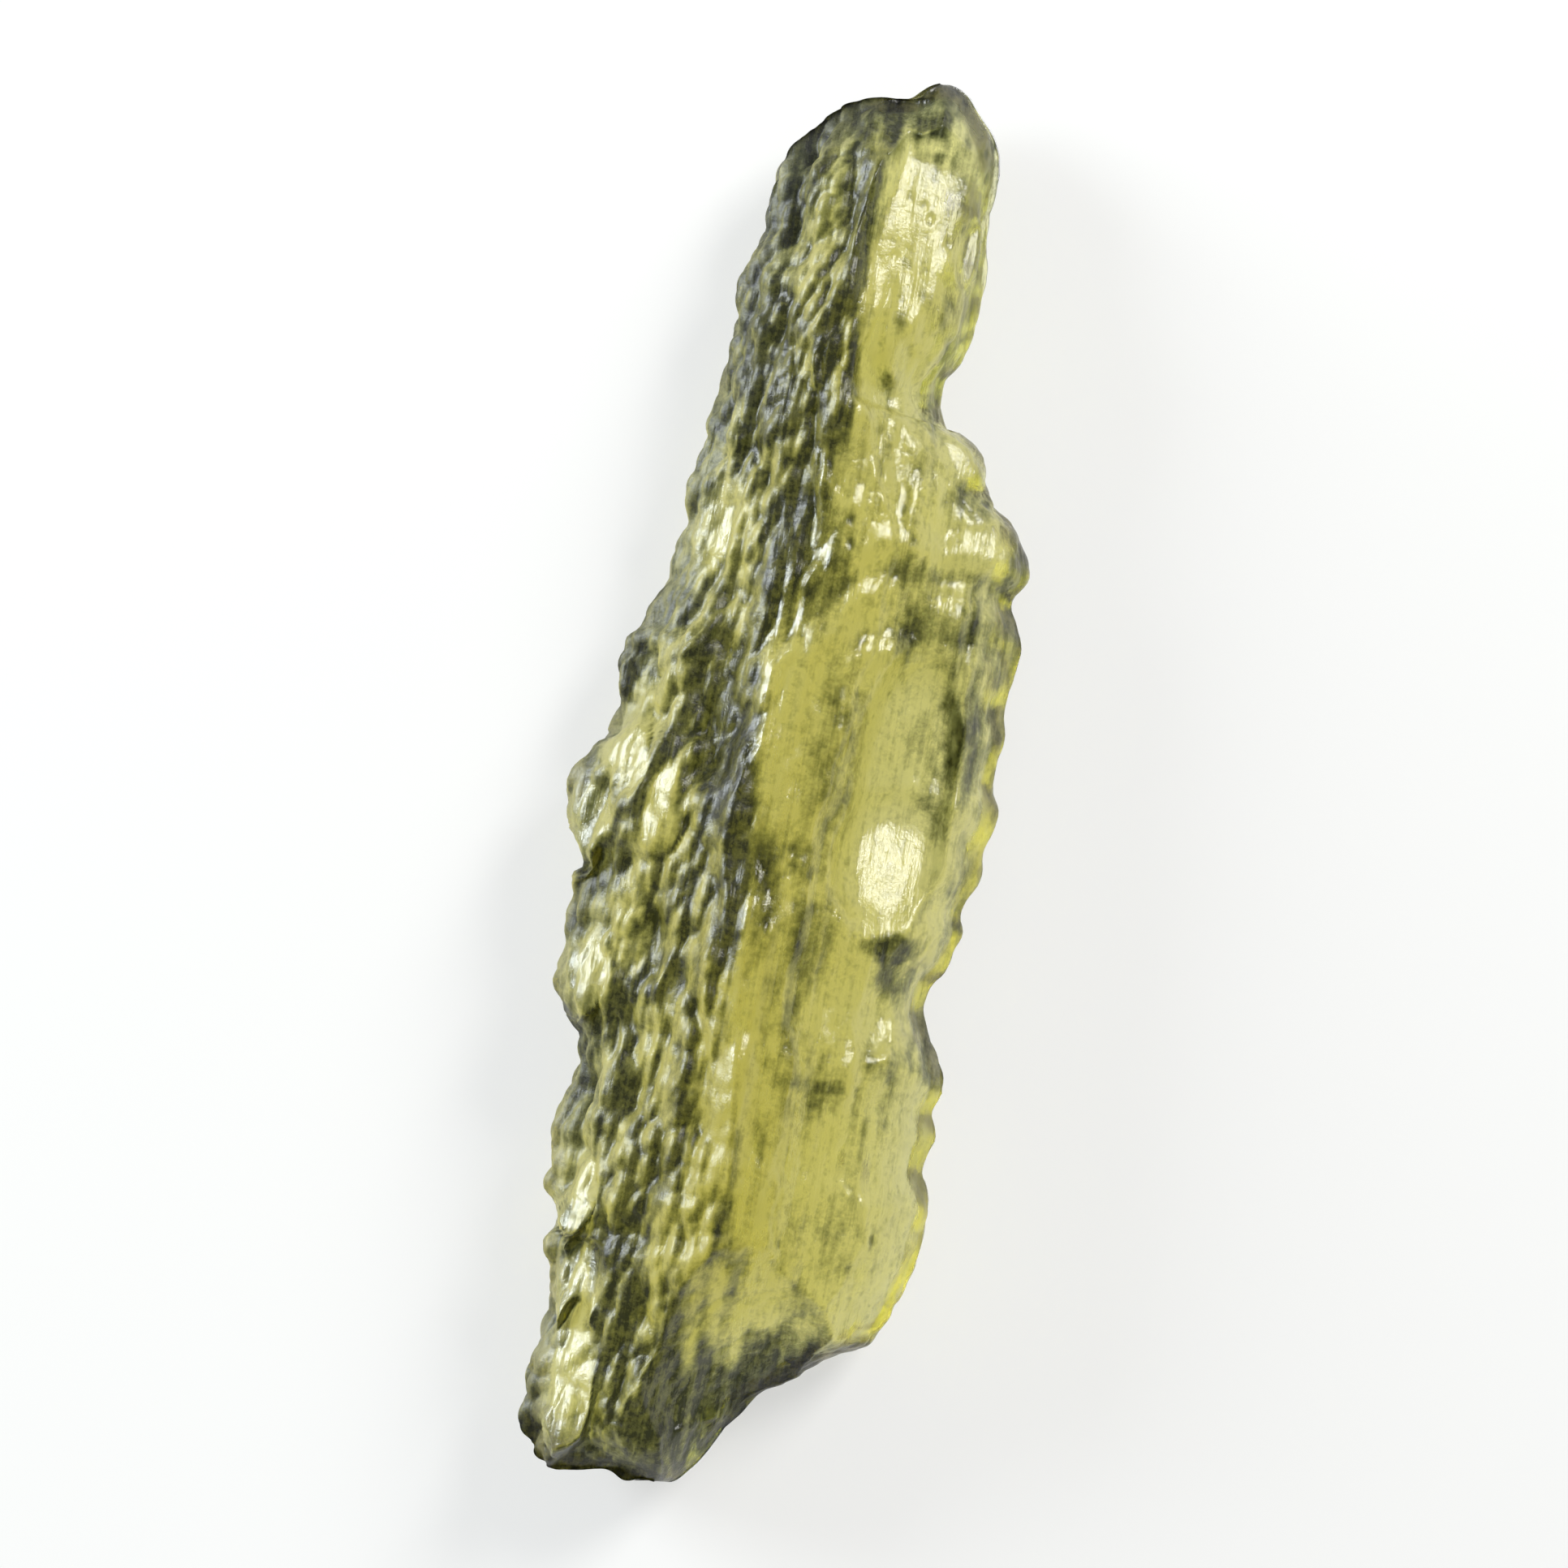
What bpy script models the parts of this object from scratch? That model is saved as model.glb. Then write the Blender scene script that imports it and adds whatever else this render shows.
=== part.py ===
"""A moldavite tektite: one long splinter of natural green glass, lying on its flatter back.

The stone is a loft between unlike sections. Each section spans from a point of the left outline to a
point of the right outline, bulges upwards to a crest and downwards to the back, is sculpted by hollows,
flat places and breaks, and then takes the flutes and scale-like lumps that etching leaves on such glass.

The outline, crest and hollows are laid out with the face towards +Z and the stone leaning LEAN degrees
to the right of +Y. The finished stone is turned upright by that angle, so its length runs along Y.
Lengths below are millimetres. The mesh is in metres.
"""

import math

import bpy
import numpy as np

MM = 0.001

# Driving dimensions
LEAN = 10.0  # degrees
SECTIONS = 92  # sections from the lower tip to the upper one
FACE_STEPS = 36  # steps across the face in each section
BACK_STEPS = 16  # and across the back
END_CROWDING = 0.62  # how much closer the sections stand at the two tips, 0 to 1

LEFT_LEVEL = 1.8  # height of the outline above the ground, on the left
RIGHT_LEVEL = 1.0  # and on the right
FACE_PROFILE = [  # place across the stone, 0 at the left edge and 1 at the right, and height there
    (0.00, 2.80), (0.08, 3.70), (0.16, 4.35), (0.26, 5.05), (0.36, 5.75), (0.44, 6.20), (0.52, 6.10),
    (0.62, 5.50), (0.72, 4.85), (0.82, 4.15), (0.92, 3.35), (1.00, 2.20),
]
BACK_BELLY = 0.90  # rise of the back from its middle to its two edges
BACK_TRIM = 0.45  # how much of the back the flat face takes off
BACK_EDGE_ROUND = 1.30  # breadth over which the back falls from the outline
END_LIFT = 1.30  # how far the back rises towards the two ends

LEFT_EDGE_ROUND = 2.10  # breadth over which the face climbs from the outline, on the left
RIGHT_EDGE_ROUND = 0.90  # and on the right
CROWN_EDGE_ROUND = 0.40  # share of that breadth left at the broken upper end
OUTWARD_HEIGHT = 2.2  # height at which the etched lumps face half sideways, half upwards

# The outline from the lower tip to the upper tip, with x across the stone and y along it
LEFT_OUTLINE = [
    (-4.00, -21.60), (-4.40, -21.50), (-4.95, -21.55), (-5.30, -21.25), (-6.25, -21.20), (-6.80, -21.10),
    (-7.30, -20.70), (-7.65, -20.10), (-7.80, -19.35), (-7.65, -18.50), (-7.20, -16.80), (-7.05, -15.80),
    (-7.10, -14.90), (-7.25, -14.25), (-6.90, -13.55), (-7.05, -13.05), (-7.20, -12.55), (-6.95, -11.75),
    (-6.75, -10.30), (-6.45, -9.20), (-6.40, -8.40), (-6.55, -7.10), (-6.80, -6.10), (-6.55, -4.80),
    (-6.30, -3.70), (-6.25, -2.70), (-6.40, -1.90), (-6.80, -0.60), (-6.60, 0.15), (-6.10, 1.00),
    (-5.90, 1.40), (-5.20, 2.00), (-5.05, 2.60), (-4.95, 3.60), (-4.75, 4.20), (-4.10, 4.85),
    (-3.65, 5.65), (-3.40, 6.10), (-3.20, 7.20), (-2.80, 8.40), (-2.70, 9.15), (-2.30, 10.35),
    (-2.20, 11.00), (-1.65, 12.30), (-1.40, 13.35), (-1.45, 13.90), (-1.30, 14.90), (-0.95, 16.00),
    (-0.55, 16.70), (-0.20, 18.00), (0.25, 19.15), (0.75, 20.10), (1.25, 20.60), (2.35, 21.15),
    (3.00, 21.25), (3.60, 21.20), (3.95, 21.22), (4.25, 21.42), (4.55, 21.60), (4.85, 21.68),
]
RIGHT_OUTLINE = [
    (-4.00, -21.60), (-3.50, -21.65), (-2.90, -21.25), (-2.20, -20.45), (-1.50, -19.65), (-0.90, -18.95),
    (-0.05, -18.60), (0.90, -18.10), (1.70, -17.70), (2.10, -17.60), (2.50, -17.45), (2.80, -17.00),
    (3.70, -15.35), (4.05, -14.60), (4.20, -13.85), (4.40, -13.20), (4.30, -12.60), (4.15, -12.10),
    (4.30, -11.50), (4.50, -11.10), (4.50, -10.10), (4.75, -9.65), (4.85, -9.15), (4.60, -7.90),
    (4.45, -6.80), (4.55, -6.30), (4.95, -5.85), (5.25, -5.20), (5.45, -4.60), (5.40, -4.15),
    (5.90, -3.05), (6.05, -2.00), (6.30, -1.45), (6.50, -0.85), (6.35, -0.10), (6.55, 0.65),
    (6.80, 1.15), (6.90, 2.35), (7.20, 3.10), (7.40, 4.45), (7.25, 5.50), (7.70, 6.35),
    (7.70, 7.00), (7.40, 7.70), (6.45, 8.75), (6.15, 9.35), (5.90, 10.15), (5.25, 10.95),
    (4.80, 11.05), (4.68, 11.45), (4.70, 12.10), (4.90, 12.70), (5.20, 13.00), (5.45, 13.40),
    (5.85, 14.50), (6.30, 15.80), (6.55, 17.70), (6.75, 19.30), (6.65, 19.80), (6.00, 20.90),
    (5.75, 21.30), (5.45, 21.55), (5.15, 21.67), (4.85, 21.68),
]

# The sharp line along the face where the rough left flank meets the smoother right side
CREST_LINE = [
    (-3.80, -20.85), (-2.90, -17.85), (-2.00, -14.85), (-1.65, -12.10), (-1.50, -9.10), (-1.30, -5.85),
    (-0.90, -2.85), (-0.70, 0.40), (-0.55, 3.65), (0.00, 6.15), (0.85, 8.65), (1.50, 11.15),
    (2.00, 13.65), (2.40, 16.65), (3.05, 19.65),
]
CREST_RISE = 0.22  # how far the line stands up
CREST_SHARPNESS = 0.60  # distance in which it falls away

# Broken faces that cut down to the outline: which outline, from and to which y, steepness, height at the
# edge above the outline's level
BREAKS = [
    (RIGHT_OUTLINE, 20.2, 22.0, 1.10, 0.0),  # crown, right of the upper tip
    (LEFT_OUTLINE, 20.4, 22.0, 1.10, 0.0),  # and left of it
    (RIGHT_OUTLINE, -19.8, -18.1, 0.95, 0.1),  # oblique break at the lower end
    (RIGHT_OUTLINE, -9.4, 5.6, 1.70, 0.0),  # rim facet along the right edge
    (RIGHT_OUTLINE, -16.9, -9.6, 1.30, 0.1),
    (RIGHT_OUTLINE, 7.6, 10.9, 0.56, 1.5),  # shoulder facet under the notch
]

# Hollows in the face: centre x and y, half width, half length, lean in degrees, depth
HOLLOWS = [
    (3.70, 0.10, 2.10, 5.10, 11.0, 0.55),  # round the long hollow
    (5.10, 7.55, 1.70, 1.25, 70.0, 0.45),  # shell-like scar on the right shoulder
    (3.60, 5.20, 1.00, 2.20, 78.0, 0.28),  # the ripple below it
    (1.10, -12.85, 2.00, 4.40, 4.0, 0.55),  # smooth panel of the lower right
    (3.55, -10.85, 0.85, 1.90, 12.0, 0.50),  # flake scar beside it
    (3.05, -7.35, 1.05, 1.30, 0.0, 0.45),
    (4.10, 16.50, 1.50, 3.60, 7.0, 0.25),  # smooth panel of the upper end
    (6.00, 16.30, 0.50, 1.00, 20.0, 0.45),  # chips in the upper right edge
    (6.15, 18.10, 0.40, 0.80, 5.0, 0.25),
    (0.70, 8.40, 0.70, 2.20, 5.0, 0.35),
    (-1.90, 2.00, 0.95, 3.20, 8.0, 0.50),  # dark trough left of the crest
    (-4.30, -4.90, 1.10, 1.60, 25.0, 0.60),
    (-4.20, 3.60, 0.90, 0.80, 30.0, 0.50),
    (-1.60, 8.80, 0.50, 1.60, 12.0, 0.25),
    (-1.50, -19.20, 1.30, 2.80, 57.0, 0.35),  # dished break at the lower end
]
BASIN = (3.65, 0.20, 1.75, 4.40, 11.0, 0.80)  # the long hollow itself, with steep walls and a flat floor
# Knobs that stand out of the left flank, in the same terms as the hollows
KNOBS = [
    (-1.50, 10.60, 0.45, 0.60, 10.0, 0.40),
    (-2.60, 4.60, 0.45, 1.20, 40.0, 0.35),
    (-5.00, 0.90, 0.60, 1.10, 15.0, 0.40),
    (-5.90, -1.20, 0.50, 1.10, 5.0, 0.30),
    (-6.10, -5.90, 0.50, 0.90, 5.0, 0.35),
    (-6.40, -12.40, 0.45, 0.80, 5.0, 0.40),
    (-6.20, -15.60, 0.50, 1.00, 10.0, 0.30),
    (-6.60, -18.40, 0.60, 1.60, 8.0, 0.30),
]
# Flat places: centre x and y, half width, half length, lean in degrees, slopes along x and y
FACETS = [
    (3.25, -2.45, 2.10, 2.90, 8.0, -0.40, -0.40),  # foot of the long hollow
    (4.10, 16.80, 2.10, 5.00, 8.0, -0.31, -0.29),  # upper panel
    (5.50, 7.50, 1.20, 1.80, 75.0, -0.45, -0.40),  # shoulder
    (-4.90, 0.90, 1.00, 2.00, 25.0, 0.68, -0.34),  # humps along the left edge
    (-5.85, -1.20, 0.80, 2.00, 5.0, 0.68, -0.34),
    (-6.05, -5.80, 0.80, 1.70, 5.0, 0.68, -0.34),
    (-6.35, -12.50, 0.80, 1.50, 5.0, 0.68, -0.34),
    (-6.15, -15.60, 0.80, 1.80, 8.0, 0.68, -0.34),
    (-6.45, -18.40, 0.90, 2.60, 8.0, 0.68, -0.34),
    (-3.60, -0.60, 0.80, 2.00, 14.0, 0.62, -0.30),
]

# Broad waves, then lumps left by etching: across size, along size, depth, number that picks the pattern
WAVES = (3.20, 6.50, 0.32, 5)
COARSE_LUMPS = (1.50, 3.40, 0.80, 11)
MIDDLE_LUMPS = (0.85, 1.80, 0.40, 23)
FLUTES = (0.62, 9.00, 0.14, 37)
RIPPLES = (4.10, 0.90, 1.90, 3.75, 0.12)  # centre x and y, spacing, distance of the first, depth
RIGHT_CALM = 0.28  # share of the lumps' depth that the smoother right side keeps
BACK_CALM = 0.55  # and the back


def smooth_curve(points, share):
    """Points at the given shares of the length of a smooth curve through the listed points.

    Between two listed points the curve is a cubic whose slope at each end is that of the line joining
    the two neighbours.
    """
    points = np.array(points, float)
    step = np.linalg.norm(np.diff(points, axis=0), axis=1)
    length = np.concatenate([[0.0], np.cumsum(step)])
    slope = np.gradient(points, length, axis=0)
    at = np.clip(np.asarray(share, float), 0.0, 1.0) * length[-1]
    k = np.clip(np.searchsorted(length, at, side="right") - 1, 0, len(step) - 1)
    span = step[k]
    f = ((at - length[k]) / span)[..., None]
    span = span[..., None]
    return (
        (2 * f**3 - 3 * f**2 + 1) * points[k]
        + (f**3 - 2 * f**2 + f) * span * slope[k]
        + (3 * f**2 - 2 * f**3) * points[k + 1]
        + (f**3 - f**2) * span * slope[k + 1]
    )


def cell_number(cell, pick):
    """A number from 0 to 1 that looks random but is always the same for a whole-number cell."""
    factors = np.array([374761393, 668265263, 1442695041], np.int64)
    n = (cell.astype(np.int64) * factors).sum(axis=-1) + pick * 1274126177
    n = (n ^ (n >> 13)) & 0xFFFFFFFF
    n = (n * 1103515245 + 12345) & 0xFFFFFFFF
    n = ((n ^ (n >> 15)) * 668265263) & 0xFFFFFFFF
    return ((n ^ (n >> 16)) & 0xFFFFFF) / float(0x1000000)


def bowls(place, pick):
    """Squared distance to the nearest of a scatter of points, one in each unit cell: low in the middle
    of each bowl and highest on the sharp rim between two."""
    cell = np.floor(place)
    nearest = np.full(place.shape[:-1], 9.0)
    for dx in (-1, 0, 1):
        for dy in (-1, 0, 1):
            for dz in (-1, 0, 1):
                near = cell + np.array([dx, dy, dz])
                spot = np.stack([cell_number(near, pick + k) for k in range(3)], axis=-1)
                away = near + 0.15 + 0.7 * spot - place
                nearest = np.minimum(nearest, (away**2).sum(axis=-1))
    return nearest


def swells(place, pick):
    """Smooth hills and dips from -1 to 1: the cell numbers at the eight corners of a unit cell, blended
    by an s-shaped weight."""
    cell = np.floor(place)
    f = place - cell
    f = f * f * (3 - 2 * f)
    total = np.zeros(place.shape[:-1])
    for dx in (0, 1):
        for dy in (0, 1):
            for dz in (0, 1):
                weight = np.ones(place.shape[:-1])
                for axis, d in enumerate((dx, dy, dz)):
                    weight = weight * (f[..., axis] if d else 1 - f[..., axis])
                total += weight * cell_number(cell + np.array([dx, dy, dz]), pick)
    return 2 * total - 1


def turned(x, y, degrees):
    """x and y as seen from axes that lean to the right of +Y by the given angle."""
    a = math.radians(degrees)
    return x * math.cos(a) - y * math.sin(a), x * math.sin(a) + y * math.cos(a)


def smooth_step(value, low, high):
    """0 below low, 1 above high, and an s-shaped climb between."""
    f = np.clip((value - low) / (high - low), 0, 1)
    return f * f * (3 - 2 * f)


def line_distance(x, y, line):
    """Distance from each place to the nearest straight piece of a line."""
    nearest = np.full(x.shape, 1e9)
    for (ax, ay), (bx, by) in zip(line[:-1], line[1:]):
        dx, dy = bx - ax, by - ay
        f = np.clip(((x - ax) * dx + (y - ay) * dy) / (dx * dx + dy * dy + 1e-12), 0, 1)
        nearest = np.minimum(nearest, (x - ax - f * dx) ** 2 + (y - ay - f * dy) ** 2)
    return np.sqrt(nearest)


def patches(x, y, rows, power=1.5):
    """All hollows or knobs together. Each falls off as 1 less the squared distance from its centre,
    measured in its own half width and half length, raised to the given power."""
    total = 0 * x
    for centre_x, centre_y, half_width, half_length, lean, size in rows:
        a, b = turned(x - centre_x, y - centre_y, lean)
        inside = np.clip(1 - (a / half_width) ** 2 - (b / half_length) ** 2, 0, 1)
        total += size * inside**power
    return total


def blank(sections, face_steps, back_steps):
    """The stone before it is etched, as an array of sections by points by x, y and z, with the place
    across the stone of each point and how much of the way to a flat place it is.

    Each section lies on the straight line between two points of the outlines. Its face climbs from the
    outline as a quarter circle to the profile, and is sculpted; a break is a slope that cuts it down to
    the outline. Its back falls from the outline as a quarter circle.
    """
    even = (np.arange(sections) + 0.5) / sections
    share = (even - END_CROWDING * np.sin(2 * math.pi * even) / (2 * math.pi))[:, None]
    left = smooth_curve(LEFT_OUTLINE, share)
    right = smooth_curve(RIGHT_OUTLINE, share)
    face_angle = math.pi * np.arange(face_steps) / face_steps
    back_angle = math.pi * np.arange(back_steps) / back_steps
    across = np.concatenate([(1 - np.cos(face_angle)) / 2, (1 + np.cos(back_angle)) / 2])[None, :]
    on_face = np.concatenate([face_angle >= 0, back_angle < 0])[None, :]
    plan = left + (right - left) * across[..., None]
    x, y = plan[..., 0], plan[..., 1]
    across = across + 0 * share

    lift = END_LIFT * np.abs(2 * share - 0.95) ** 3
    level = LEFT_LEVEL + (RIGHT_LEVEL - LEFT_LEVEL) * across + 0.35 * lift
    left = smooth_curve(LEFT_OUTLINE, np.linspace(0, 1, 200))
    right = smooth_curve(RIGHT_OUTLINE, np.linspace(0, 1, 200))
    inside = np.minimum(line_distance(x, y, left), line_distance(x, y, right))
    breadth = LEFT_EDGE_ROUND + (RIGHT_EDGE_ROUND - LEFT_EDGE_ROUND) * across
    breadth = breadth * (1 - (1 - CROWN_EDGE_ROUND) * smooth_step(share, 0.93, 0.99))
    rise = np.sqrt(1 - (1 - np.clip(inside / breadth, 0, 1)) ** 2)

    along = 1.0 - 0.34 * np.clip(1.7 * share - 0.7, 0, 1) - 0.56 * np.clip(1 - 4 * share, 0, 1) ** 1.4
    along -= 0.12 * smooth_step(share, 0.86, 1.0)
    profile = smooth_curve(FACE_PROFILE, np.linspace(0, 1, 300))
    full = np.interp(across, profile[:, 0], profile[:, 1]) * along
    face = level + (full - level) * rise
    face, flat = sculpted(x, y, face, inside, on_face)
    for outline, low, high, steepness, start in BREAKS:
        curve = left if outline is LEFT_OUTLINE else right
        part = curve[(curve[:, 1] > low) & (curve[:, 1] < high)]
        cut = level + start + steepness * line_distance(x, y, part)
        flat = np.maximum(flat, 0.8 * smooth_step(face - cut, -0.05, 0.25))
        face = np.minimum(face, cut)

    lowest = 0.9 * lift - BACK_TRIM + BACK_BELLY * np.abs(2 * across - 0.9) ** 2.5
    fall = np.sqrt(1 - (1 - np.clip(inside / BACK_EDGE_ROUND, 0, 1)) ** 2)
    height = np.where(on_face, face, level + (lowest - level) * fall)
    return np.concatenate([plan, height[..., None]], axis=-1), across, flat * on_face


def crest_distance(x, y):
    """Distance to the right of the crest line, at the same height on the stone."""
    line = smooth_curve(CREST_LINE, np.linspace(0, 1, 200))
    return x - np.interp(y, line[:, 1], line[:, 0])


def sculpted(x, y, face, inside, on_face):
    """Heights of the face with its crest, knobs, hollows and flat places, and how much of the way to a
    flat place each point is. A flat place is a plane through the height at its centre."""
    inner = np.clip(inside / 0.6, 0, 1)
    crest = CREST_RISE * np.exp(-np.abs(crest_distance(x, y)) / CREST_SHARPNESS)
    face = face + inner * (crest + patches(x, y, KNOBS) - patches(x, y, HOLLOWS))
    face -= BASIN[5] * smooth_step(patches(x, y, [(*BASIN[:5], 1.0)], 1.0), 0.0, 0.62)
    flat = 0 * face
    for centre_x, centre_y, half_width, half_length, lean, slope_x, slope_y in FACETS:
        middle = np.argmin(np.hypot(x - centre_x, y - centre_y) + 99.0 * ~on_face)
        plane = face.ravel()[middle] + slope_x * (x - centre_x) + slope_y * (y - centre_y)
        spot = patches(x, y, [(centre_x, centre_y, half_width, half_length, lean, 1.0)], 1.0)
        weight = smooth_step(spot, 0.0, 0.85)
        face = face + (plane - face) * weight
        flat = np.maximum(flat, weight)
    return face, flat


def outward(points, across):
    """Unit directions away from the middle of each section: sideways by the place across the stone, and
    up or down by the height above that middle."""
    left = points[:, :1, :2]
    right = points[:, FACE_STEPS:FACE_STEPS + 1, :2]
    sideways = (right - left) / np.maximum(np.linalg.norm(right - left, axis=-1, keepdims=True), 1e-6)
    middle = (points[:, :1, 2] + points[:, FACE_STEPS:FACE_STEPS + 1, 2]) / 2
    up = (points[..., 2] - middle) / OUTWARD_HEIGHT
    direction = np.concatenate([sideways * (2 * across - 1)[..., None], up[..., None]], axis=-1)
    return direction / np.maximum(np.linalg.norm(direction, axis=-1, keepdims=True), 1e-6)


def etched(points, across, flat):
    """The blank with waves, etched lumps, flutes and the ripples of the shoulder, moved along the outward
    directions and cut flat where it meets the ground."""
    normal = outward(points, across)
    x, y, z = points[..., 0], points[..., 1], points[..., 2]
    on_back = np.clip(-2 * normal[..., 2], 0, 1)
    right_side = 1 / (1 + np.exp(-crest_distance(x, y) / 0.35)) * (1 - on_back)
    calm = (1 - (1 - RIGHT_CALM) * right_side - (1 - BACK_CALM) * on_back) * (1 - 0.65 * flat)

    a, b = turned(x, y, 12.0)
    relief = WAVES[2] * swells(np.stack([a / WAVES[0], b / WAVES[1], z / WAVES[0]], axis=-1), WAVES[3])
    for (wide, long, deep, pick), lean in ((COARSE_LUMPS, 12.0), (MIDDLE_LUMPS, 18.0)):
        c, d = turned(x, y, lean)
        relief -= deep * (bowls(np.stack([c / wide, d / long, z / wide], axis=-1), pick) - 0.35) * calm
    wide, long, deep, pick = FLUTES
    relief += deep * swells(np.stack([a / wide, b / long, z / 3.0], axis=-1), pick)
    centre_x, centre_y, spacing, first, deep = RIPPLES
    far = np.hypot(x - centre_x, y - centre_y)
    shell = smooth_step(far, 2.4, 3.2) * smooth_step(7.2 - far, 0, 1.2) * smooth_step(y, 3.0, 4.5)
    relief -= deep * shell * right_side * np.cos(2 * math.pi * (far - first) / spacing)

    from_tips = np.minimum(
        np.hypot(x - LEFT_OUTLINE[0][0], y - LEFT_OUTLINE[0][1]),
        np.hypot(x - LEFT_OUTLINE[-1][0], y - LEFT_OUTLINE[-1][1]),
    )
    ends = np.clip(from_tips / 4.5, 0, 1) ** 2
    thin_edge = 1 - 0.7 * np.clip((across - 0.9) / 0.1, 0, 1)
    points = points + normal * (relief * ends * thin_edge)[..., None]
    points[..., 2] = np.maximum(points[..., 2], 0)
    return points


def upright(points):
    """The points turned by the lean, so that the stone's length is along Y."""
    x, y = turned(points[..., 0], points[..., 1], LEAN)
    return np.stack([x, y, points[..., 2]], axis=-1)


def loft(name, points):
    """A closed mesh with a quad between each four neighbours and a fan of triangles at each tip."""
    sections, count = points.shape[:2]
    low_tip = points[0].mean(axis=0)
    high_tip = points[-1].mean(axis=0)
    vertices = np.concatenate([points.reshape(-1, 3), [low_tip, high_tip]])
    here = np.arange(sections * count).reshape(sections, count)
    there = np.roll(here, -1, axis=1)
    quads = np.stack([here[:-1], there[:-1], there[1:], here[1:]], axis=-1).reshape(-1, 4)
    low = [(sections * count, b, a) for a, b in zip(here[0], there[0])]
    high = [(sections * count + 1, a, b) for a, b in zip(here[-1], there[-1])]
    mesh = bpy.data.meshes.new(name)
    mesh.from_pydata(vertices.tolist(), [], quads.tolist() + low + high)
    mesh.validate()
    return mesh


def green_glass():
    """Olive to bottle green natural glass."""
    material = bpy.data.materials.new("moldavite_glass")
    material.use_nodes = True
    shader = material.node_tree.nodes["Principled BSDF"]
    shader.inputs["Base Color"].default_value = (0.42, 0.42, 0.10, 1)
    shader.inputs["Roughness"].default_value = 0.18
    shader.inputs["Metallic"].default_value = 0.0
    shader.inputs["IOR"].default_value = 1.49
    shader.inputs["Transmission Weight"].default_value = 1.0
    return material


def main():
    for old in list(bpy.data.objects):
        bpy.data.objects.remove(old)
    collection = bpy.data.collections.new("moldavite_tektite")
    bpy.context.scene.collection.children.link(collection)

    points = upright(etched(*blank(SECTIONS, FACE_STEPS, BACK_STEPS)))
    low, high = points.min(axis=(0, 1)), points.max(axis=(0, 1))
    middle = (low + high) / 2
    points -= np.array([middle[0], middle[1], low[2]])
    mesh = loft("tektite", points * MM)
    mesh.shade_smooth()
    mesh.materials.append(green_glass())
    stone = bpy.data.objects.new("tektite", mesh)
    collection.objects.link(stone)


main()
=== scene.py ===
"""Looks of a moldavite tektite, a splinter of clear olive-green natural glass lying on a pale floor.

The stone is one closed surface over a grid: rows run along the stone from its lower tip to its upper
one, and columns run round it, across the sculpted face and back under the stone. Shapes are worked out
in millimetres in the frame of the picture, where the stone leans to the right, then turned upright.
"""

import math

import bpy
import numpy as np
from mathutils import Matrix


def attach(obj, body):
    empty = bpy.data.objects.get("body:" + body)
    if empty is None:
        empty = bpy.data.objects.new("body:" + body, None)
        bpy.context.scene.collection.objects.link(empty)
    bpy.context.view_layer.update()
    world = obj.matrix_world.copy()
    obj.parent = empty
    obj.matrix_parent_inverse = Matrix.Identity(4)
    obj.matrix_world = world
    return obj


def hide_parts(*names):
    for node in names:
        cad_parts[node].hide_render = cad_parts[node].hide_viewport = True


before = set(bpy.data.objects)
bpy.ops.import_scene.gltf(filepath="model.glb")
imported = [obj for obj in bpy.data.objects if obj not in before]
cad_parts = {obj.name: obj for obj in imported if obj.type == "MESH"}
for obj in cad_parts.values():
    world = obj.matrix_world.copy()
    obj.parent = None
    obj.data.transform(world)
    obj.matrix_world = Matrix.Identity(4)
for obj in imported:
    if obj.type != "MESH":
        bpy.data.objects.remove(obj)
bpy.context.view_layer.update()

MM = 0.001
LEAN = 10.0  # degrees the stone leans to the right of upright in the picture
PICTURE_WIDTH = 48.3  # what the picture's frame spans
ROWS, FACE_COLUMNS, BACK_COLUMNS = 424, 168, 54

# The studio, in metres
CAMERA_HEIGHT, MIDDLE_HEIGHT = 0.30, 0.0035
FLOOR_COLOUR, FLOOR_GLOW = (0.36, 0.36, 0.353), 1.62
WORLD_COLOUR, WORLD_STRENGTH = (0.78, 0.82, 0.88, 1), 0.30

# The glass: how clear it is, how it bends light, what it absorbs, and the tints of its skin from a place
# that lets no light through to a clear one
CLARITY, REFRACTION = 0.94, 1.49
ABSORBED_COLOUR, ABSORBED_DENSITY = (0.86, 0.82, 0.08, 1), 330.0
# The skin's tints carry painted shade and painted highlights as well as the glass's own uneven tone
TINTS = [
    (0.0, (0.003, 0.004, 0.001, 1)), (0.25, (0.050, 0.058, 0.026, 1)), (0.5, (0.21, 0.23, 0.13, 1)),
    (0.75, (0.56, 0.57, 0.36, 1)), (1.0, (1.0, 0.99, 0.66, 1)),
]
STRIATION_SCALE, GRAIN_SCALE = (5200, 130, 1500), 3800.0  # waves to the metre, across, along and up
STRIATION_TINT, GRAIN_TINT = 0.16, 0.22  # how far each moves the tint
BUMP_STRENGTH, BUMP_HEIGHT = 0.6, 0.00005
PLAIN_FROST, FLANK_FROST, EDGE_FROST, FLAT_FROST = 0.14, 0.25, 0.10, 0.06
FLANK_GLOSS = 0.17  # frost that the flat places of the left flank lose

# How much darker the skin is, much of it painted shade: on the rough flank, on the smooth side, and all
# over
# The plain flank amount, grooves, sides of lumps facing right and walls facing down are painted shade
FLANK_PAINTED_SHADE, FLANK_MOTTLE, FLANK_PAINTED_GROOVE_SHADE, FLANK_PAINTED_SHADE_FACING_RIGHT = 0.17, 0.34, 0.60, 0.85
SIDE_PLAIN, SIDE_MOTTLE, SIDE_PAINTED_GROOVE_SHADE, SIDE_PAINTED_WALL_SHADE = -0.45, 0.80, 0.45, 0.9
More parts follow.
